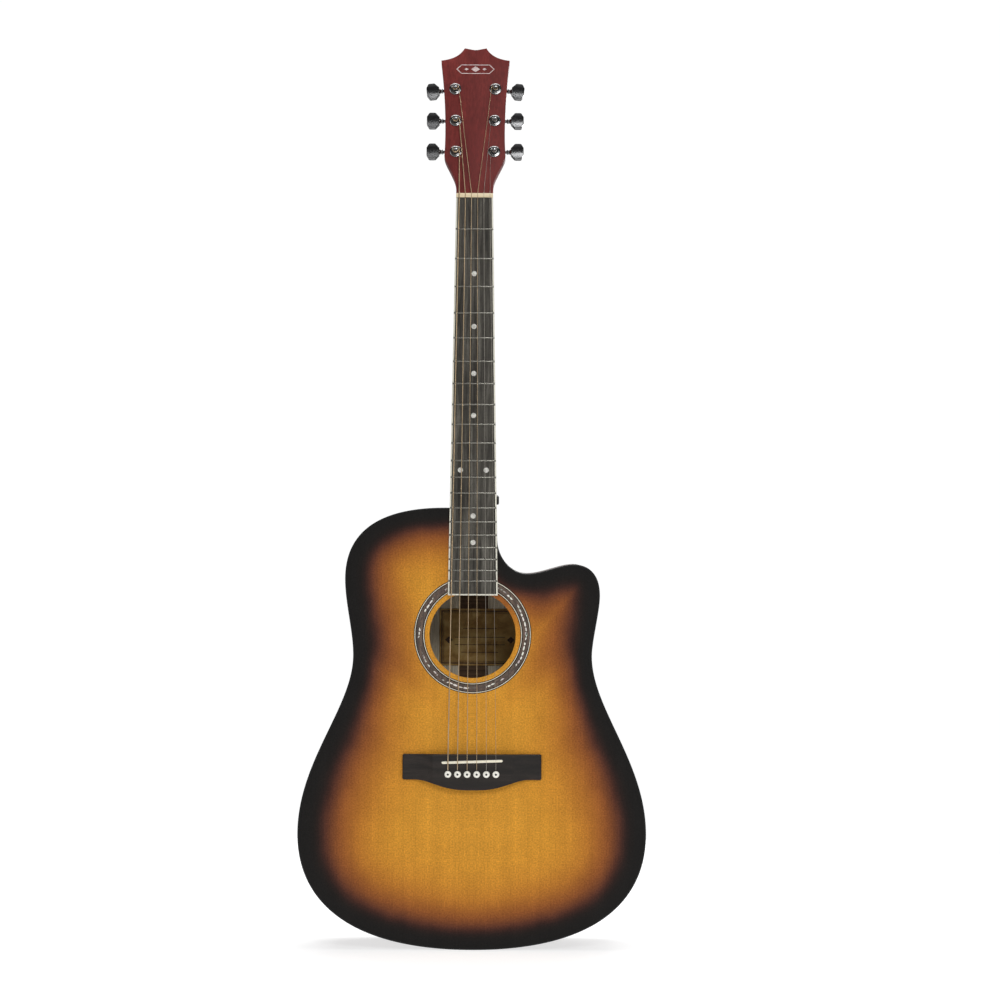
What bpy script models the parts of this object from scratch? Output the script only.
"""Steel-string acoustic guitar with a cutaway, 650 mm scale, standing upright on its tail.

Frame: +Z up the neck, -Y out of the soundboard, +X to the treble side. Depth is counted back
from the soundboard's face, so a point at depth d has Y = FACE_Y + d. Height is minus depth.
"""

import math

import bmesh
import bpy
from mathutils import Matrix, Vector
from mathutils.geometry import interpolate_bezier

# ---- driving dimensions, in metres -------------------------------------------------------
GAP = 0.0003                   # clearance left between pieces that touch
FACE_Y = -0.0536               # Y of the soundboard's face

SCALE_LENGTH = 0.650
NUT_Z = 0.8731                 # the fingerboard's edge of the nut
NUT_LENGTH = 0.005
FRET_COUNT = 20
BODY_TOP_Z = 0.5128            # where the neck meets the body, at the 14th fret
BOARD_END_Z = 0.4111
BOARD_HALF_AT_NUT = 0.0215
BOARD_HALF_AT_END = 0.0289
BOARD_THICKNESS = 0.0065
BOARD_RADIUS = 0.400           # the playing surface's curve across the board
FRET_HEIGHT = 0.0010
FRET_WIDTH = 0.0022

DEPTH_AT_NECK = 0.100
DEPTH_AT_TAIL = 0.120
BACK_DOME_RADIUS = 5.0         # across the back
BACK_BULGE = 0.010             # lengthwise, four times the rise at the middle

TOP_THICKNESS = 0.0028
BACK_THICKNESS = 0.0025
SIDE_THICKNESS = 0.0020
BINDING_WIDTH = 0.0016
BINDING_HEIGHT = 0.0057
LINING_WIDTH = 0.0060
LINING_HEIGHT = 0.0140

HOLE_Z = 0.3652
HOLE_RADIUS = 0.050
ROSETTE_INNER = 0.0559
ROSETTE_OUTER = 0.0682
ROSETTE_DEPTH = 0.0012

HEAD_TILT = math.radians(14.0)
HEAD_THICKNESS = 0.0155
HEAD_BASE_Z = NUT_Z + NUT_LENGTH
POST_PLACES = ((0.0224, 0.0524), (0.0229, 0.0911), (0.0236, 0.1307))
TUNER_TURNS = (0.0, 0.0, math.radians(6.0))
TUNER_RATIO = 14               # turns of the knob for one turn of the post

BRIDGE_HALF = 0.0805
BRIDGE_HEIGHT = 0.0095
BRIDGE_TOP_Z = 0.2270
BRIDGE_WING_Z = 0.1974
BRIDGE_BELLY_Z = 0.1855
PIN_Z = 0.2041
PIN_HEAD_RADIUS = 0.0040
PIN_SHANK_RADIUS = 0.0026
SADDLE_Z = 0.2186
SADDLE_LENGTH = 0.072
SADDLE_WIDTH = 0.0030
SADDLE_SLANT = math.atan2(0.0024, SADDLE_LENGTH)

STRING_GAUGES = (0.00135, 0.00107, 0.00081, 0.00061, 0.00041, 0.00030)
NUT_SPREAD = 0.0357
SADDLE_SPREAD = 0.0556
STRING_HEIGHT_NUT = 0.0083
STRING_HEIGHT_SADDLE = 0.0124
STRING_TO_POST = 0.0043        # from a post's axis to its string
STRING_OVER_HEAD = 0.0055

ROD_DEPTH = 0.0064             # the truss rod's centre line
ROD_HALF = 0.0030
TENON_HALF = 0.010
TENON_LENGTH = 0.015
TENON_DEPTHS = (0.0120, 0.0850)

# ---- colours: name, base colour, roughness, metallic -------------------------------------
FINISHES = {
    "spruce_burst": ((0.42, 0.17, 0.05), 0.45, 0.0),
    "mahogany_body": ((0.16, 0.06, 0.035), 0.45, 0.0),
    "mahogany_neck": ((0.20, 0.085, 0.05), 0.5, 0.0),
    "rosewood": ((0.055, 0.035, 0.028), 0.6, 0.0),
    "ebony": ((0.02, 0.018, 0.017), 0.55, 0.0),
    "bare_wood": ((0.62, 0.47, 0.31), 0.7, 0.0),
    "black_binding": ((0.015, 0.015, 0.015), 0.35, 0.0),
    "bone": ((0.86, 0.84, 0.76), 0.35, 0.0),
    "pearl": ((0.70, 0.68, 0.66), 0.3, 0.0),
    "black_chrome": ((0.16, 0.16, 0.17), 0.25, 1.0),
    "steel": ((0.62, 0.62, 0.62), 0.3, 1.0),
    "bronze": ((0.72, 0.55, 0.36), 0.35, 1.0),
    "black_plastic": ((0.02, 0.02, 0.02), 0.4, 0.0),
}

parts = None
cutters = None


# ---- helpers -----------------------------------------------------------------------------
def clear_scene():
    for obj in list(bpy.data.objects):
        bpy.data.objects.remove(obj, do_unlink=True)


def new_collection(name):
    found = bpy.data.collections.new(name)
    bpy.context.scene.collection.children.link(found)
    return found


def material(name):
    found = bpy.data.materials.get(name)
    if found:
        return found
    colour, roughness, metallic = FINISHES[name]
    found = bpy.data.materials.new(name)
    found.use_nodes = True
    shader = found.node_tree.nodes["Principled BSDF"]
    shader.inputs["Base Color"].default_value = (*colour, 1.0)
    shader.inputs["Roughness"].default_value = roughness
    shader.inputs["Metallic"].default_value = metallic
    found.diffuse_color = (*colour, 1.0)
    return found


def at(x, depth, z):
    """World point of a place given by its depth behind the soundboard's face."""
    return Vector((x, FACE_Y + depth, z))


def add_object(name, data, finish, parent=None):
    """Links an object among the parts, or among the cutters where it has no finish."""
    obj = bpy.data.objects.new(name, data)
    if finish:
        data.materials.append(material(finish))
        parts.objects.link(obj)
    else:
        obj.hide_render = True
        obj.display_type = "WIRE"
        cutters.objects.link(obj)
    obj.parent = parent
    return obj


def mesh_object(name, bm, finish, parent=None, smooth_angle=30.0):
    bmesh.ops.recalc_face_normals(bm, faces=bm.faces)
    mesh = bpy.data.meshes.new(name)
    bm.to_mesh(mesh)
    bm.free()
    mesh.shade_smooth()
    mesh.set_sharp_from_angle(angle=math.radians(smooth_angle))
    return add_object(name, mesh, finish, parent)


def add_empty(name, parent=None):
    empty = bpy.data.objects.new(name, None)
    parts.objects.link(empty)
    empty.parent = parent
    return empty


def boolean(obj, cutter, operation="DIFFERENCE"):
    modifier = obj.modifiers.new(f"{operation.lower()}_{cutter.name}", "BOOLEAN")
    modifier.operation = operation
    modifier.object = cutter


def bevel(obj, width, segments=1, angle=40.0):
    modifier = obj.modifiers.new("edges", "BEVEL")
    modifier.width = width
    modifier.segments = segments
    modifier.limit_method = "ANGLE"
    modifier.angle_limit = math.radians(angle)


def box(name, low, high, finish=None, parent=None):
    bm = bmesh.new()
    bmesh.ops.create_cube(bm, size=1.0)
    size = Vector(high) - Vector(low)
    centre = (Vector(high) + Vector(low)) / 2
    bmesh.ops.scale(bm, vec=size, verts=bm.verts)
    bmesh.ops.translate(bm, vec=centre, verts=bm.verts)
    return mesh_object(name, bm, finish, parent)


def cylinders(name, ends, radius, sides=16, finish=None, parent=None):
    """Solid round bars between pairs of points, all in one mesh."""
    bm = bmesh.new()
    for start, end in ends:
        run = end - start
        turn = run.to_track_quat("Z", "Y").to_matrix().to_4x4()
        bmesh.ops.create_cone(
            bm,
            cap_ends=True,
            segments=sides,
            radius1=radius,
            radius2=radius,
            depth=run.length,
            matrix=Matrix.Translation((start + end) / 2) @ turn,
        )
    return mesh_object(name, bm, finish, parent)


def loft(name, rings, finish, closed=False, parent=None, smooth_angle=30.0):
    """Skin through equal rings of points. An open run of rings gets a cap at each end."""
    bm = bmesh.new()
    made = [[bm.verts.new(point) for point in ring] for ring in rings]
    pairs = list(zip(made, made[1:]))
    if closed:
        pairs.append((made[-1], made[0]))
    count = len(made[0])
    for ring, following in pairs:
        for i in range(count):
            j = (i + 1) % count
            bm.faces.new((ring[i], ring[j], following[j], following[i]))
    if not closed:
        bm.faces.new(reversed(made[0]))
        bm.faces.new(made[-1])
    return mesh_object(name, bm, finish, parent, smooth_angle)


def turned(name, profile, finish, steps=16, parent=None):
    """A profile of (radius, height) down the outer side, turned about the object's Z axis."""
    mesh = bpy.data.meshes.new(name)
    points = [(radius, 0.0, height) for radius, height in profile]
    hollow = min(radius for radius, _ in profile) > 0
    edges = [(i, i + 1) for i in range(len(points) - 1)]
    if hollow:
        edges.append((len(points) - 1, 0))
    mesh.from_pydata(points, edges, [])
    obj = add_object(name, mesh, finish, parent)
    screw = obj.modifiers.new("turn", "SCREW")
    screw.axis = "Z"
    screw.steps = steps
    screw.render_steps = steps
    screw.use_merge_vertices = True
    screw.merge_threshold = 0.00001
    screw.use_smooth_shade = True
    return obj


def flat_plate(name, loops, finish, thickness, matrix, parent=None):
    """A flat sheet from closed loops of (u, v): the first is its outline, the rest holes.

    The sheet's own Z runs through its thickness, from 0 up to thickness.
    """
    curve = bpy.data.curves.new(f"{name}_outline", "CURVE")
    curve.dimensions = "2D"
    curve.fill_mode = "BOTH"
    curve.extrude = thickness / 2
    for loop in loops:
        spline = curve.splines.new("POLY")
        spline.points.add(len(loop) - 1)
        spline.use_cyclic_u = True
        for point, (u, v) in zip(spline.points, loop):
            point.co = (u, v, 0.0, 1.0)
    drawn = bpy.data.objects.new(curve.name, curve)
    parts.objects.link(drawn)
    bpy.context.view_layer.update()
    graph = bpy.context.evaluated_depsgraph_get()
    mesh = bpy.data.meshes.new_from_object(drawn.evaluated_get(graph))
    bpy.data.objects.remove(drawn)
    bm = bmesh.new()
    bm.from_mesh(mesh)
    bpy.data.meshes.remove(mesh)
    bmesh.ops.remove_doubles(bm, verts=bm.verts, dist=0.000001)
    bmesh.ops.translate(bm, vec=(0.0, 0.0, thickness / 2), verts=bm.verts)
    bmesh.ops.transform(bm, matrix=matrix, verts=bm.verts)
    return mesh_object(name, bm, finish, parent)


def facing_back(depth=0.0):
    """Places a sheet's (u, v) at world X and Z, with its thickness running back from depth."""
    return Matrix.Translation((0.0, FACE_Y + depth, 0.0)) @ Matrix(
        ((1, 0, 0, 0), (0, 0, 1, 0), (0, 1, 0, 0), (0, 0, 0, 1))
    )


def facing_up(z):
    """Places a sheet's (u, v) at world X and height before the soundboard, thickness up."""
    return Matrix.Translation((0.0, FACE_Y, z)) @ Matrix(
        ((1, 0, 0, 0), (0, -1, 0, 0), (0, 0, 1, 0), (0, 0, 0, 1))
    )


def circle(radius, centre=(0.0, 0.0), count=32):
    turn = math.tau / count
    return [
        (centre[0] + radius * math.cos(i * turn), centre[1] + radius * math.sin(i * turn))
        for i in range(count)
    ]


# ---- body outline ------------------------------------------------------------------------
def bezier_run(start, start_handle, end_handle, end, count):
    """Points from start, without end, along a curve whose handles are given as offsets."""
    start, end = Vector(start), Vector(end)
    knots = [start, start + Vector(start_handle), end + Vector(end_handle), end]
    run = interpolate_bezier(*[knot.to_3d() for knot in knots], count + 1)
    return [point.to_2d() for point in run[:-1]]


TAIL = (0.0, 0.0)
LOWER_BOUT = (0.2023, 0.134)
WAIST = (0.1386, 0.341)
BASS_BOUT = (-0.1484, 0.430)
HORN_SIDE = (0.1477, 0.411)
HORN_TOP = (0.118, 0.4475)
SCOOP = (0.0635, 0.4364)
CUT_WALL = (0.0280, 0.478)
TREBLE_CORNER = (0.0273, BODY_TOP_Z)
BASS_CORNER = (-0.0265, BODY_TOP_Z)


def lower_half(side):
    """The tail, lower bout and waist, which are the same on both sides."""
    bout = (side * LOWER_BOUT[0], LOWER_BOUT[1])
    waist = (side * WAIST[0], WAIST[1])
    run = bezier_run(TAIL, (side * 0.1469, 0.0), (0.0, -0.0748), bout, 12)
    run += bezier_run(bout, (0.0, 0.0846), (0.0, -0.0604), waist, 10)
    run[0] = Vector((side * GAP / 2, 0.0))
    return run


def treble_path():
    """From the tail round the treble side and the cutaway to the neck."""
    run = lower_half(1)
    run += bezier_run(WAIST, (0.0, 0.0181), (0.0, -0.0184), HORN_SIDE, 4)
    run += bezier_run(HORN_SIDE, (0.0, 0.0352), (0.0056, 0.0), HORN_TOP, 7)
    run += bezier_run(HORN_TOP, (-0.0156, 0.0), (0.0176, 0.0), SCOOP, 4)
    run += bezier_run(SCOOP, (-0.0184, 0.0), (0.0, -0.0237), CUT_WALL, 7)
    run += [Vector(CUT_WALL), Vector(TREBLE_CORNER), Vector((TENON_HALF + GAP, BODY_TOP_Z))]
    return run


def bass_path():
    """From the tail round the bass side to the neck."""
    run = lower_half(-1)
    run += bezier_run((-WAIST[0], WAIST[1]), (0.0, 0.0283), (0.0, -0.0284), BASS_BOUT, 5)
    run += bezier_run(BASS_BOUT, (0.0, 0.0400), (-0.1010, 0.0016), BASS_CORNER, 11)
    run += [Vector(BASS_CORNER), Vector((-TENON_HALF - GAP, BODY_TOP_Z))]
    return run


def whole_path():
    """Both sides in one run, from the neck's bass edge down to the tail and up again."""
    return list(reversed(bass_path()[1:])) + [Vector(TAIL)] + treble_path()[1:]


def inset(path, distance, closed=False):
    """An anticlockwise path moved into the body by distance, with mitred corners."""
    count = len(path)
    moved = []
    for i, point in enumerate(path):
        before = path[i - 1] if i or closed else point
        after = path[(i + 1) % count] if i + 1 < count or closed else point
        legs = [leg.normalized() for leg in (point - before, after - point) if leg.length > 0]
        normals = [Vector((-leg.y, leg.x)) for leg in legs]
        mean = sum(normals, Vector((0.0, 0.0))).normalized()
        moved.append(point + mean * (distance / mean.dot(normals[0])))
    return moved


def back_depth(x, z):
    """Depth of the domed back's outer face."""
    t = (BODY_TOP_Z - z) / BODY_TOP_Z
    depth = DEPTH_AT_NECK + (DEPTH_AT_TAIL - DEPTH_AT_NECK) * t + BACK_BULGE * t * (1 - t)
    return depth - x * x / (2 * BACK_DOME_RADIUS)


def sweep(name, path, section, finish, closed=False):
    """Sweeps a section along the body outline.

    Each corner of the section is (inset, depth), where a negative depth counts from the back.
    """
    edges = {width: inset(path, width, closed) for width, _ in section}
    rings = []
    for i in range(len(path)):
        ring = []
        for width, depth in section:
            x, z = edges[width][i]
            ring.append(at(x, depth if depth >= 0 else back_depth(x, z) + depth, z))
        rings.append(ring)
    return loft(name, rings, finish, closed)


# ---- body --------------------------------------------------------------------------------
def make_soundboard():
    outline = inset(whole_path()[1:-1], BINDING_WIDTH + GAP, closed=True)
    hole = circle(HOLE_RADIUS, (0.0, HOLE_Z), 40)
    top = flat_plate("soundboard", [outline, hole], "spruce_burst", TOP_THICKNESS, facing_back())
    groove = [circle(r, (0.0, HOLE_Z), 40) for r in (ROSETTE_OUTER + GAP, ROSETTE_INNER - GAP)]
    depth = ROSETTE_DEPTH + GAP
    cutter = flat_plate("rosette_groove", groove, None, 2 * depth, facing_back(-depth))
    boolean(top, cutter)
    return top


def make_rosette():
    rims = [circle(r, (0.0, HOLE_Z), 40) for r in (ROSETTE_OUTER, ROSETTE_INNER)]
    return flat_plate("rosette", rims, "pearl", ROSETTE_DEPTH, facing_back())


def make_back():
    """The domed back: rings of the outline drawn in towards the middle, front and outer face."""
    edge = inset(whole_path()[1:-1], BINDING_WIDTH + GAP, closed=True)
    middle = Vector((0.0, 0.230))
    bm = bmesh.new()

    def face_of(offset):
        rings = []
        for share in (1.0, 0.72, 0.40):
            ring = [middle + (point - middle) * share for point in edge]
            rings.append([bm.verts.new(at(x, back_depth(x, z) - offset, z)) for x, z in ring])
        for outer, inner in zip(rings, rings[1:]):
            for i in range(len(outer)):
                j = (i + 1) % len(outer)
                bm.faces.new((outer[i], outer[j], inner[j], inner[i]))
        centre = bm.verts.new(at(middle.x, back_depth(*middle) - offset, middle.y))
        for i in range(len(edge)):
            bm.faces.new((rings[-1][i], rings[-1][(i + 1) % len(edge)], centre))
        return rings[0]

    outside = face_of(0.0)
    inside = face_of(BACK_THICKNESS)
    for i in range(len(edge)):
        j = (i + 1) % len(edge)
        bm.faces.new((outside[i], outside[j], inside[j], inside[i]))
    return mesh_object("back_plate", bm, "mahogany_body")


def make_sides():
    lip = BINDING_HEIGHT + GAP
    section = ((0.0, lip), (SIDE_THICKNESS, lip), (SIDE_THICKNESS, -lip), (0.0, -lip))
    bass = list(reversed(bass_path()))
    for name, path in (("side_treble", treble_path()), ("side_bass", bass)):
        sweep(name, path, section, "mahogany_body")


def make_bindings():
    top = ((0, 0), (BINDING_WIDTH, 0), (BINDING_WIDTH, BINDING_HEIGHT), (0, BINDING_HEIGHT))
    sweep("top_binding", whole_path(), top, "black_binding")
    flush = -0.0000001         # a negative depth, so that it counts from the back's face
    back = ((0, flush), (BINDING_WIDTH, flush), (BINDING_WIDTH, -BINDING_HEIGHT))
    back += ((0, -BINDING_HEIGHT),)
    sweep("back_binding", whole_path()[1:-1], back, "black_binding", closed=True)


def lining_path():
    """The outline between the two faces of the neck block."""
    block_bass = -0.0383
    block_low = 0.4540
    path = whole_path()
    return [point for point in path if point.x < block_bass or point.y < block_low]


def make_linings():
    outer = SIDE_THICKNESS + GAP
    inner = outer + LINING_WIDTH
    heel = 0.0040              # the square edge against the plate, before the taper
    for name, sign, plate in (
        ("top_lining", 1, TOP_THICKNESS),
        ("back_lining", -1, BACK_THICKNESS),
    ):
        near = sign * (plate + GAP)
        far = sign * (plate + GAP + LINING_HEIGHT)
        section = ((outer, near), (inner, near), (inner, near + sign * heel))
        section += ((outer + 0.001, far), (outer, far))
        sweep(name, lining_path(), section, "bare_wood")


def make_neck_block():
    low_z, high_z = 0.4550, BODY_TOP_Z - SIDE_THICKNESS - 0.0008
    bass_x, treble_x = -0.0380, 0.0247
    front = TOP_THICKNESS + GAP
    rings = []
    for z in (low_z, high_z):
        backs = [back_depth(x, z) - BACK_THICKNESS - GAP for x in (bass_x, treble_x)]
        rings.append([
            at(bass_x, front, z),
            at(treble_x, front, z),
            at(treble_x, backs[1], z),
            at(bass_x, backs[0], z),
        ])
    block = loft("neck_block", rings, "bare_wood")
    mortise_end = BODY_TOP_Z - TENON_LENGTH - GAP
    mortise = box(
        "mortise",
        at(-TENON_HALF - GAP, TENON_DEPTHS[0] - GAP, mortise_end),
        at(TENON_HALF + GAP, TENON_DEPTHS[1] + GAP, high_z + 0.01),
    )
    boolean(block, mortise)
    boolean(block, bpy.data.objects["rod_channel"])
    return block


def make_tail_block():
    path = [p for p in whole_path() if p.y < 0.1 and abs(p.x) < 0.045]
    outer = SIDE_THICKNESS + GAP
    step = outer + LINING_WIDTH + GAP
    inner = 0.020
    clear = LINING_HEIGHT + 2 * GAP
    front = TOP_THICKNESS + GAP
    back = -(BACK_THICKNESS + GAP)
    section = (
        (step, front),
        (inner, front),
        (inner, back),
        (step, back),
        (step, back - clear),
        (outer, back - clear),
        (outer, front + clear),
        (step, front + clear),
    )
    return sweep("tail_block", path, section, "bare_wood")


def brace(name, start, end, width, height):
    """A bar glued under the soundboard, with both ends shaved down."""
    run = (Vector(end) - Vector(start)).normalized()
    across = Vector((-run.y, run.x)) * width / 2
    length = (Vector(end) - Vector(start)).length
    taper = 0.035
    top = TOP_THICKNESS + GAP
    rings = []
    for along, deep in ((0.0, 0.004), (taper, height), (length - taper, height), (length, 0.004)):
        point = Vector(start) + run * along
        left, right = point + across, point - across
        rings.append([
            at(left.x, top, left.y),
            at(right.x, top, right.y),
            at(right.x, top + deep, right.y),
            at(left.x, top + deep, left.y),
        ])
    return loft(name, rings, "bare_wood")


def make_braces():
    height, width = 0.0140, 0.0080
    crossing = Vector((0.0, 0.2910))
    spread = math.radians(48.0)
    leg = Vector((math.sin(spread), math.cos(spread)))
    reach_up, reach_down = 0.158, 0.224
    bars = []
    for name, side in (("x_brace_a", -1), ("x_brace_b", 1)):
        slope = Vector((side * leg.x, leg.y))
        ends = crossing + slope * reach_up, crossing - slope * reach_down
        bars.append(brace(name, *ends, width, height))
    lap = 0.0068
    middle = TOP_THICKNESS + GAP + height / 2
    for bar, near, far in (
        (bars[0], middle - GAP / 2, 0.03),
        (bars[1], -0.01, middle + GAP / 2),
    ):
        notch = box(
            f"lap_{bar.name}",
            at(-lap, near, crossing.y - lap),
            at(lap, far, crossing.y + lap),
        )
        boolean(bar, notch)
    cross = brace("upper_transverse_brace", (-0.128, 0.4208), (0.122, 0.4208), 0.010, 0.0145)
    wrench_way = 0.0055
    start, end = at(0.0, ROD_DEPTH, 0.41), at(0.0, ROD_DEPTH, 0.44)
    boolean(cross, cylinders("wrench_hole", [(start, end)], wrench_way, 16))


def make_bridge_plate():
    outline = [(-0.058, 0.2300), (0.058, 0.2300), (0.090, 0.1880), (-0.090, 0.1880)]
    place = facing_back(TOP_THICKNESS + GAP)
    plate = flat_plate("bridge_plate", [outline], "bare_wood", 0.0025, place)
    drill_for_pins(plate)


def make_body():
    top = make_soundboard()
    drill_for_pins(top)
    make_rosette()
    make_back()
    make_sides()
    make_bindings()
    make_linings()
    make_neck_block()
    make_tail_block()
    make_braces()
    make_bridge_plate()


# ---- strings' places ---------------------------------------------------------------------
def string_share(index):
    """-0.5 for the lowest string to 0.5 for the highest."""
    return index / (len(STRING_GAUGES) - 1) - 0.5


def crown(x):
    """How far the radiused playing surface drops at x."""
    return x * x / (2 * BOARD_RADIUS)


def string_at_nut(index):
    x = string_share(index) * NUT_SPREAD
    return x, STRING_HEIGHT_NUT - crown(x)


def string_at_saddle(index):
    x = string_share(index) * SADDLE_SPREAD
    return x, STRING_HEIGHT_SADDLE - crown(x)


def string_hole_z(index):
    """Where the string goes down beside its pin's head."""
    return PIN_Z + PIN_HEAD_RADIUS + GAP + STRING_GAUGES[index] / 2


def make_pin_cutters():
    """Round pin holes, and the slots that let the strings down beside the pins."""
    ends = []
    slots = bmesh.new()
    for index, gauge in enumerate(STRING_GAUGES):
        x = string_share(index) * SADDLE_SPREAD
        ends.append((at(x, -0.02, PIN_Z), at(x, 0.02, PIN_Z)))
        made = bmesh.ops.create_cube(slots, size=1.0)["verts"]
        low = at(x - gauge / 2 - GAP, -0.021, PIN_Z + PIN_SHANK_RADIUS / 2)
        high = at(x + gauge / 2 + GAP, 0.021, string_hole_z(index) + gauge / 2 + GAP)
        bmesh.ops.scale(slots, vec=high - low, verts=made)
        bmesh.ops.translate(slots, vec=(high + low) / 2, verts=made)
    cylinders("pin_holes", ends, PIN_SHANK_RADIUS + GAP, 12)
    mesh_object("string_slots", slots, None)


def drill_for_pins(obj):
    boolean(obj, bpy.data.objects["pin_holes"])
    boolean(obj, bpy.data.objects["string_slots"])


# ---- bridge ------------------------------------------------------------------------------
def bridge_height(x):
    """Full height across the middle, then a scoop down to thin wings."""
    wing_start, wing_height = 0.0455, 0.0032
    if abs(x) <= wing_start:
        return BRIDGE_HEIGHT
    share = (abs(x) - wing_start) / (BRIDGE_HALF - wing_start)
    return wing_height + (BRIDGE_HEIGHT - wing_height) * (1 - share) ** 2.6


def bridge_lower_edge(x):
    """The belly, which swells down behind the pins."""
    share = min(abs(x) / 0.066, 1.0)
    belly = 0.5 + 0.5 * math.cos(math.pi * share ** 1.4)
    return BRIDGE_WING_Z + (BRIDGE_BELLY_Z - BRIDGE_WING_Z) * belly


def make_bridge():
    stations = [0.0, 0.012, 0.024, 0.034, 0.0455, 0.050, 0.056, 0.063, 0.070, 0.0785, BRIDGE_HALF]
    xs = [-x for x in reversed(stations[1:])] + stations
    chamfer = 0.0008
    rings = []
    for x in xs:
        end = 0.0015 if abs(x) == BRIDGE_HALF else 0.0
        low, high = bridge_lower_edge(x) + end, BRIDGE_TOP_Z - end
        tall = bridge_height(x)
        rings.append([
            at(x, -GAP, low),
            at(x, -tall + chamfer, low),
            at(x, -tall, low + chamfer),
            at(x, -tall, high - chamfer),
            at(x, -tall + chamfer, high),
            at(x, -GAP, high),
        ])
    bridge = loft("bridge", rings, "ebony")
    slot = box(
        "saddle_slot",
        (-SADDLE_LENGTH / 2 - GAP, -0.02, -SADDLE_WIDTH / 2 - GAP),
        (SADDLE_LENGTH / 2 + GAP, -0.0040, SADDLE_WIDTH / 2 + GAP),
    )
    place_on_saddle(slot)
    boolean(bridge, slot)
    drill_for_pins(bridge)


def place_on_saddle(obj):
    obj.location = (0.0, FACE_Y, SADDLE_Z)
    obj.rotation_euler.y = -SADDLE_SLANT


def make_saddle():
    """A bone blade whose crown follows the undersides of the strings."""
    thickest, thinnest = STRING_GAUGES[0] / 2, STRING_GAUGES[-1] / 2
    base, count = 0.0044, 12
    outline = [(SADDLE_LENGTH / 2, base), (-SADDLE_LENGTH / 2, base)]
    for i in range(count + 1):
        share = i / count
        x = (share - 0.5) * SADDLE_LENGTH
        radius = thickest + (thinnest - thickest) * share
        round_end = 0.0012 if i in (0, count) else 0.0
        outline.append((x, STRING_HEIGHT_SADDLE - crown(x) - radius - GAP - round_end))
    flat = Matrix(((1, 0, 0, 0), (0, -1, 0, 0), (0, 0, 1, -SADDLE_WIDTH / 2), (0, 0, 0, 1)))
    saddle = flat_plate("saddle", [outline], "bone", SADDLE_WIDTH, flat)
    place_on_saddle(saddle)


def make_bridge_pins():
    """Turned pins whose collars rest on the bridge and whose shanks reach the bridge plate."""
    top = BRIDGE_HEIGHT + GAP
    profile = (
        (0.0, top + 0.0026),
        (0.0020, top + 0.0024),
        (0.0034, top + 0.0017),
        (PIN_HEAD_RADIUS, top + 0.0008),
        (PIN_HEAD_RADIUS - 0.0004, top),
        (PIN_SHANK_RADIUS, top),
        (0.0022, -0.0070),
        (0.0, -0.0078),
    )
    for index in range(len(STRING_GAUGES)):
        pin = turned(f"bridge_pin_{index + 1}", profile, "bone", 12)
        pin.location = at(string_share(index) * SADDLE_SPREAD, 0.0, PIN_Z)
        pin.rotation_euler.x = math.radians(90.0)


# ---- neck --------------------------------------------------------------------------------
def board_half(z):
    share = (NUT_Z - z) / (NUT_Z - BOARD_END_Z)
    return BOARD_HALF_AT_NUT + (BOARD_HALF_AT_END - BOARD_HALF_AT_NUT) * share


def fret_z(number):
    return NUT_Z - SCALE_LENGTH * (1 - 2 ** (-number / 12))


def make_fingerboard():
    """The radiused board with its frets pressed in, as one lengthwise loft."""
    stations = [(NUT_Z - GAP, 0.0)]
    half = FRET_WIDTH / 2
    for number in range(1, FRET_COUNT + 1):
        z = fret_z(number)
        for offset, rise in ((half, 0.0), (half * 0.6, 0.8), (-half * 0.6, 0.8), (-half, 0.0)):
            stations.append((z + offset, rise * FRET_HEIGHT))
        stations.insert(-2, (z, FRET_HEIGHT))
    stations.append((BOARD_END_Z, 0.0))
    columns = (-1.0, -0.5, 0.0, 0.5, 1.0)
    rings = []
    for z, rise in stations:
        width = board_half(z)
        ring = [at(width, -GAP, z), at(-width, -GAP, z)]
        for column in columns:
            x = column * width
            ring.append(at(x, -(BOARD_THICKNESS + rise - crown(x)), z))
        rings.append(ring)
    return loft("fingerboard", rings, "rosewood")


def make_shaft():
    """The D-shaped shaft from the nut to the body."""
    at_nut, at_body = 0.0145, 0.0178
    steps, around = 8, 10
    rings = []
    for step in range(steps + 1):
        share = step / steps
        z = HEAD_BASE_Z + (BODY_TOP_Z + GAP - HEAD_BASE_Z) * share
        width = min(board_half(z), TREBLE_CORNER[0] - 0.0001)
        depth = at_nut + (at_body - at_nut) * share
        ring = []
        for i in range(around + 1):
            turn = math.pi * i / around
            x = width * math.copysign(abs(math.cos(turn)) ** 0.85, math.cos(turn))
            ring.append(at(x, depth * math.sin(turn) ** 0.9, z))
        rings.append(ring)
    return loft("neck", rings, "mahogany_neck")


def heel_half(depth):
    return 0.015 + 0.0122 * math.exp(-depth / 0.035)


def heel_reach(depth):
    return 0.014 + 0.060 * math.exp(-(depth - 0.010) / 0.012)


HEEL_DEPTH = DEPTH_AT_NECK - 0.0028
CAP_THICKNESS = 0.0025


def heel_ring(depth, around=14):
    """A U-shaped outline against the body, at one depth."""
    power = 2 / 2.6
    ring = []
    for i in range(around + 1):
        turn = math.pi * i / around
        cosine, sine = math.cos(turn), math.sin(turn)
        x = heel_half(depth) * math.copysign(abs(cosine) ** power, cosine)
        ring.append((x, BODY_TOP_Z + GAP + heel_reach(depth) * abs(sine) ** power))
    return ring


def make_heel():
    depths = (0.0100, 0.0140, 0.0180, 0.0225, 0.0280, 0.0350, 0.0450, 0.0600, 0.0780, HEEL_DEPTH)
    rings = [[at(x, depth, z) for x, z in heel_ring(depth)] for depth in depths]
    return loft("heel", rings, None)


def make_heel_cap():
    ring = heel_ring(HEEL_DEPTH)
    place = facing_back(HEEL_DEPTH + GAP)
    return flat_plate("heel_cap", [ring], "ebony", CAP_THICKNESS, place)


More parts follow.
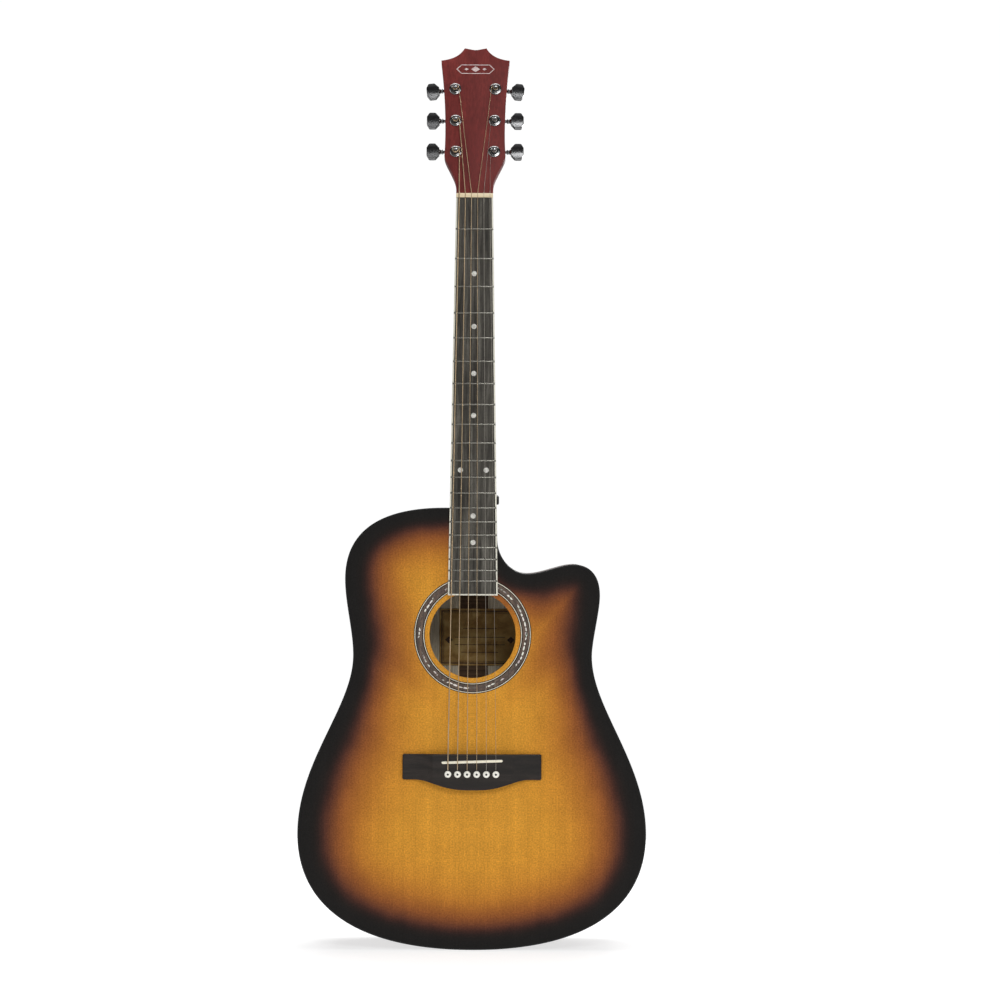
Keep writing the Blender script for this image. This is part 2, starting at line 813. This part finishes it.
def head_outline():
    """The headstock's outline as (x, distance up the head), treble side then bass side."""
    flare = bezier_run((0.0216, 0.0080), (0.0, 0.0145), (-0.0012, -0.0100), (0.0357, 0.0478), 9)
    edge = bezier_run((0.0357, 0.0478), (-0.0016, 0.0220), (-0.0060, -0.0500), (0.0402, 0.1662), 6)
    brow = bezier_run((0.0402, 0.1670), (-0.0150, 0.0019), (0.0050, -0.0085), (0.0128, 0.1826), 8)
    bump = bezier_run((0.0128, 0.1826), (-0.0012, 0.0012), (0.0060, 0.0), (0.0, 0.1804), 5)
    half = [Vector((0.0214, -0.0001))] + flare + edge + [Vector((0.0402, 0.1662))] + brow + bump
    top = [Vector((0.0, 0.1804))]
    mirrored = [Vector((-point.x, point.y)) for point in reversed(half)]
    return half + top + mirrored


def make_head_frame():
    """An empty on the headstock's face at the nut, with its Z up the head and -Y out of it."""
    frame = add_empty("head_frame")
    frame.location = (0.0, FACE_Y, HEAD_BASE_Z)
    frame.rotation_euler.x = -HEAD_TILT
    return frame


def make_neck(head_frame):
    neck = make_shaft()
    boolean(neck, make_heel(), "UNION")
    along_head = Matrix(((1, 0, 0, 0), (0, 0, 1, 0), (0, 1, 0, 0), (0, 0, 0, 1)))
    head = flat_plate("headstock", [head_outline()], None, HEAD_THICKNESS, along_head, head_frame)
    boolean(neck, head, "UNION")
    tenon = box(
        "tenon",
        at(-TENON_HALF, TENON_DEPTHS[0], BODY_TOP_Z - TENON_LENGTH),
        at(TENON_HALF, TENON_DEPTHS[1], BODY_TOP_Z + 0.004),
    )
    boolean(neck, tenon, "UNION")
    boolean(neck, bpy.data.objects["rod_channel"])
    ends = []
    for x, up in POST_PLACES:
        for side in (-1, 1):
            ends.append((Vector((side * x, -0.01, up)), Vector((side * x, 0.03, up))))
    boolean(neck, cylinders("tuner_holes", ends, BUSHING_SLEEVE + GAP, 16, None, head_frame))
    seat_start, seat_end = at(BUTTON_SEAT_X, BUTTON_DEPTH, BUTTON_Z), Vector((0.04, 0.0, 0.0))
    seat = [(seat_start, seat_start + seat_end)]
    boolean(neck, cylinders("button_seat", seat, BUTTON_FOOT + GAP, 16))
    bore_start = at(BUTTON_SEAT_X - BUTTON_SCREW_LENGTH - GAP, BUTTON_DEPTH, BUTTON_Z)
    bore = [(bore_start, bore_start + seat_end)]
    boolean(neck, cylinders("button_bore", bore, BUTTON_SCREW + GAP, 12))


ROD_TOP_Z = 0.8650
ROD_END_Z = 0.4552


def make_rod_channel():
    """The slot for the truss rod, cut in the neck and the neck block."""
    low = at(-ROD_HALF - GAP, -0.01, ROD_END_Z - 0.02)
    high = at(ROD_HALF + GAP, ROD_DEPTH + ROD_HALF + GAP, ROD_TOP_Z + GAP)
    return box("rod_channel", low, high)


def make_truss_rod():
    low = at(-ROD_HALF, ROD_DEPTH - ROD_HALF, ROD_END_Z)
    high = at(ROD_HALF, ROD_DEPTH + ROD_HALF, ROD_TOP_Z)
    box("truss_rod", low, high, "steel")


def ngon_ring(radius, height, sides, count):
    """A ring of points on a circle, or on a polygon where sides is given."""
    ring = []
    for i in range(count):
        turn = math.tau * i / count
        reach = radius
        if sides:
            step = math.tau / sides
            reach = radius * math.cos(step / 2) / math.cos(turn % step - step / 2)
        ring.append(Vector((reach * math.cos(turn), reach * math.sin(turn), height)))
    return ring


def make_truss_rod_nut():
    """The adjusting nut: a barrel with a hexagonal socket that opens towards the soundhole."""
    length, radius, socket_depth, socket = 0.0110, 0.0032, 0.0080, 0.0023
    rings = [
        ngon_ring(radius, 0.0, 0, 12),
        ngon_ring(radius, -length, 0, 12),
        ngon_ring(socket, -length, 6, 12),
        ngon_ring(socket, -length + socket_depth, 6, 12),
    ]
    nut = loft("truss_rod_nut", rings, "steel")
    nut.location = at(0.0, ROD_DEPTH, ROD_END_Z - GAP)


def make_nut():
    """The bone nut, with a slot for each string."""
    outline = [(-BOARD_HALF_AT_NUT, GAP), (BOARD_HALF_AT_NUT, GAP)]
    rise = 0.0003
    for index in reversed(range(len(STRING_GAUGES))):
        x, height = string_at_nut(index)
        half = STRING_GAUGES[index] / 2 + GAP
        if index == len(STRING_GAUGES) - 1:
            outline.append((BOARD_HALF_AT_NUT, height - 0.0006))
        outline.append((x + half, height + rise))
        outline.append((x + half, height - half))
        outline.append((x - half, height - half))
        outline.append((x - half, height + rise))
        if index == 0:
            outline.append((-BOARD_HALF_AT_NUT, height - 0.0006))
    flat_plate("nut", [outline], "bone", NUT_LENGTH - GAP, facing_up(NUT_Z + GAP / 2))


# ---- strap button ------------------------------------------------------------------------
BUTTON_Z = 0.5225
BUTTON_DEPTH = 0.035
BUTTON_SEAT_X = 0.0165
BUTTON_FOOT = 0.0042
BUTTON_SCREW = 0.0016
BUTTON_SCREW_LENGTH = 0.012
BUTTON_LENGTH = 0.0135


def make_strap_button():
    """A turned button with its screw, whose axis runs out of the heel's treble side."""
    foot = BUTTON_FOOT
    profile = (
        (0.0, BUTTON_LENGTH - 0.0010),
        (0.0022, BUTTON_LENGTH - 0.0010),
        (0.0024, BUTTON_LENGTH),
        (0.0048, BUTTON_LENGTH),
        (0.0056, BUTTON_LENGTH - 0.0016),
        (0.0050, BUTTON_LENGTH - 0.0038),
        (0.0030, BUTTON_LENGTH - 0.0056),
        (0.0028, BUTTON_LENGTH - 0.0085),
        (foot, GAP + 0.0014),
        (foot, GAP),
        (BUTTON_SCREW, GAP),
        (BUTTON_SCREW, -BUTTON_SCREW_LENGTH + 0.002),
        (0.0, -BUTTON_SCREW_LENGTH),
    )
    button = turned("strap_button", profile, "black_plastic", 14)
    button.location = at(BUTTON_SEAT_X, BUTTON_DEPTH, BUTTON_Z)
    button.rotation_euler.y = math.radians(90.0)


# ---- tuners ------------------------------------------------------------------------------
BUSHING_SLEEVE = 0.0047
POST_RADIUS = 0.0030
WORM_UP = 0.0070               # from the post's axis up the head to the worm's
WORM_BACK = 0.0192             # from the head's face back to the worm's axis
HOUSING_FRONT = HEAD_THICKNESS + GAP
HOUSING_DEEP = 0.0110
SHAFT_RADIUS = 0.0019
KNOB_INNER_X = 0.0420
KNOB_LENGTH = 0.0150
KNOB_WIDTH = 0.0196
KNOB_THICK = 0.0084


def make_bushing(name, parent):
    """A threaded sleeve with a washer and a hexagonal head, bored for the post."""
    bore = POST_RADIUS + GAP
    count = 12
    rings = [
        ngon_ring(bore, -0.0100, 0, count),
        ngon_ring(BUSHING_SLEEVE, -0.0100, 0, count),
        ngon_ring(BUSHING_SLEEVE, GAP, 0, count),
        ngon_ring(0.0070, GAP, 0, count),
        ngon_ring(0.0070, 0.0012, 0, count),
        ngon_ring(0.0056, 0.0013, 6, count),
        ngon_ring(0.0056, 0.0030, 6, count),
        ngon_ring(bore, 0.0034, 0, count),
    ]
    bushing = loft(name, rings, "black_chrome", closed=True, parent=parent)
    bushing.rotation_euler.x = math.radians(90.0)


def make_post(name, parent):
    """The string post, waisted where the string winds, with its worm wheel at the back."""
    wheel_front, wheel_back = -0.0172, -0.0212
    teeth, tip, root = TUNER_RATIO, 0.0050, 0.0042
    profile = (
        (0.0, 0.0118),
        (0.0024, 0.0118),
        (0.0030, 0.0112),
        (0.0031, 0.0092),
        (0.0026, 0.0080),
        (0.0025, 0.0052),
        (0.0030, 0.0038),
        (POST_RADIUS, wheel_front + 0.0002),
        (0.0022, wheel_back - 0.0002),
        (0.0022, -0.0242),
        (0.0, -0.0242),
    )
    post = turned(name, profile, "black_chrome", 12, parent)
    post.rotation_euler.x = math.radians(90.0)
    outline = []
    for tooth in range(teeth):
        for share, radius in ((0.0, tip), (0.35, tip), (0.68, root)):
            turn = math.tau * (tooth + share) / teeth
            outline.append((radius * math.cos(turn), radius * math.sin(turn)))
    place = Matrix.Translation((0.0, 0.0, wheel_back))
    wheel = flat_plate(f"{name}_wheel", [outline], None, wheel_front - wheel_back, place, parent)
    wheel.rotation_euler.x = math.radians(90.0)
    boolean(post, wheel, "UNION")


def make_housing(name, parent, side):
    """A die-cast cup against the back of the head, open towards it."""
    half, down, up, wall = 0.0090, 0.0090, 0.0123, 0.0013
    front, back = HOUSING_FRONT, HOUSING_FRONT + HOUSING_DEEP
    housing = box(name, (-half, front, -down), (half, back, up), "black_chrome", parent)
    bevel(housing, 0.0015, 2)
    cavity = box(
        f"{name}_cavity",
        (-half + wall, front - 0.002, -down + wall),
        (half - wall, back - wall, up - wall),
        None,
        parent,
    )
    boolean(housing, cavity)
    ends = [(Vector((0.0, WORM_BACK, WORM_UP)), Vector((side * 0.02, WORM_BACK, WORM_UP)))]
    boolean(housing, cylinders(f"{name}_bore", ends, SHAFT_RADIUS + GAP, 12, None, parent))


def knob_outline():
    """A rectangle with chamfered corners, longer across than along the shaft."""
    half, inner, outer = KNOB_WIDTH / 2, 0.0, KNOB_LENGTH
    cut_in, cut_out = 0.0042, 0.0048
    return [
        (inner, half - cut_in),
        (inner + cut_in, half),
        (outer - cut_out, half),
        (outer, half - cut_out),
        (outer, -half + cut_out),
        (outer - cut_out, -half),
        (inner + cut_in, -half),
        (inner, -half + cut_in),
    ]


def make_knob(name, parent, post_x):
    """A knob on its worm shaft, whose origin is on the shaft's axis with +Z outwards."""
    start = -0.0066            # the worm's inner end, counted from the post's axis
    inner = KNOB_INNER_X - post_x
    collar = inner - 0.0045
    profile = [(0.0, inner + 0.004), (0.0030, inner + 0.004), (0.0030, collar)]
    profile += [(SHAFT_RADIUS, collar), (SHAFT_RADIUS, 0.0066)]
    crest, groove, pitch = 0.0018, 0.0013, 0.0028
    for turn in range(4):
        z = 0.0046 - turn * pitch
        profile += [(crest, z), (groove, z - pitch / 2)]
    profile += [(crest, start), (0.0, start)]
    shaft = turned(name, profile, "black_chrome", 12, parent)
    across = Matrix(((0, 1, 0, 0), (0, 0, 1, -KNOB_THICK / 2), (1, 0, 0, inner), (0, 0, 0, 1)))
    grip = flat_plate(f"{name}_grip", [knob_outline()], None, KNOB_THICK, across, parent)
    bevel(grip, 0.0012, 1, 60.0)
    boolean(shaft, grip, "UNION")
    return shaft, grip


def make_tuners(head_frame):
    rows = ("lower", "middle", "upper")
    for side, hand in ((-1, "bass"), (1, "treble")):
        for row, (post_x, up), turn in zip(rows, POST_PLACES, TUNER_TURNS):
            name = f"{hand}_{row}"
            centre = add_empty(f"tuner_{name}", head_frame)
            centre.location = (side * post_x, 0.0, up)
            centre.rotation_euler.y = side * turn
            make_bushing(f"bushing_{name}", centre)
            make_post(f"post_{name}", centre)
            make_housing(f"housing_{name}", centre, side)
            axis = add_empty(f"worm_axis_{name}", centre)
            axis.location = (0.0, WORM_BACK, WORM_UP)
            axis.rotation_euler.y = side * math.radians(90.0)
            make_knob(f"knob_{name}", axis, post_x)


# ---- strings -----------------------------------------------------------------------------
def post_for(index):
    """(side, row) of the post that a string goes to: low strings left, outer strings lowest."""
    return (-1, index) if index < 3 else (1, 5 - index)


def string_points(index, head_frame):
    radius = STRING_GAUGES[index] / 2
    side, row = post_for(index)
    post_x, up = POST_PLACES[row]
    tangent = Vector((side * (post_x - STRING_TO_POST), -STRING_OVER_HEAD, up))
    end = head_frame.matrix_world @ tangent
    nut_x, nut_height = string_at_nut(index)
    saddle_x, saddle_height = string_at_saddle(index)
    saddle_z = SADDLE_Z + math.tan(SADDLE_SLANT) * saddle_x
    entry = -(BRIDGE_HEIGHT + radius + GAP)
    hole_z = string_hole_z(index)
    return [
        end,
        at(nut_x, -nut_height, NUT_Z + NUT_LENGTH),
        at(nut_x, -nut_height, NUT_Z),
        at(saddle_x, -saddle_height, saddle_z),
        at(saddle_x, entry, hole_z),
        at(saddle_x, 0.0072, hole_z),
    ]


def make_strings(head_frame):
    bpy.context.view_layer.update()
    for index, gauge in enumerate(STRING_GAUGES):
        points = string_points(index, head_frame)
        curve = bpy.data.curves.new(f"string_{index + 1}", "CURVE")
        curve.dimensions = "3D"
        curve.bevel_depth = gauge / 2
        curve.bevel_resolution = 1
        curve.use_fill_caps = True
        spline = curve.splines.new("POLY")
        spline.points.add(len(points) - 1)
        for point, place in zip(spline.points, points):
            point.co = (*place, 1.0)
        add_object(curve.name, curve, "bronze" if index < 4 else "steel")


# ---- assembly ----------------------------------------------------------------------------
clear_scene()
parts = new_collection("acoustic_guitar")
cutters = new_collection("cutters")
make_pin_cutters()
make_rod_channel()
head = make_head_frame()
make_body()
make_bridge()
make_saddle()
make_bridge_pins()
make_neck(head)
make_heel_cap()
make_fingerboard()
make_nut()
make_truss_rod()
make_truss_rod_nut()
make_strap_button()
make_tuners(head)
make_strings(head)
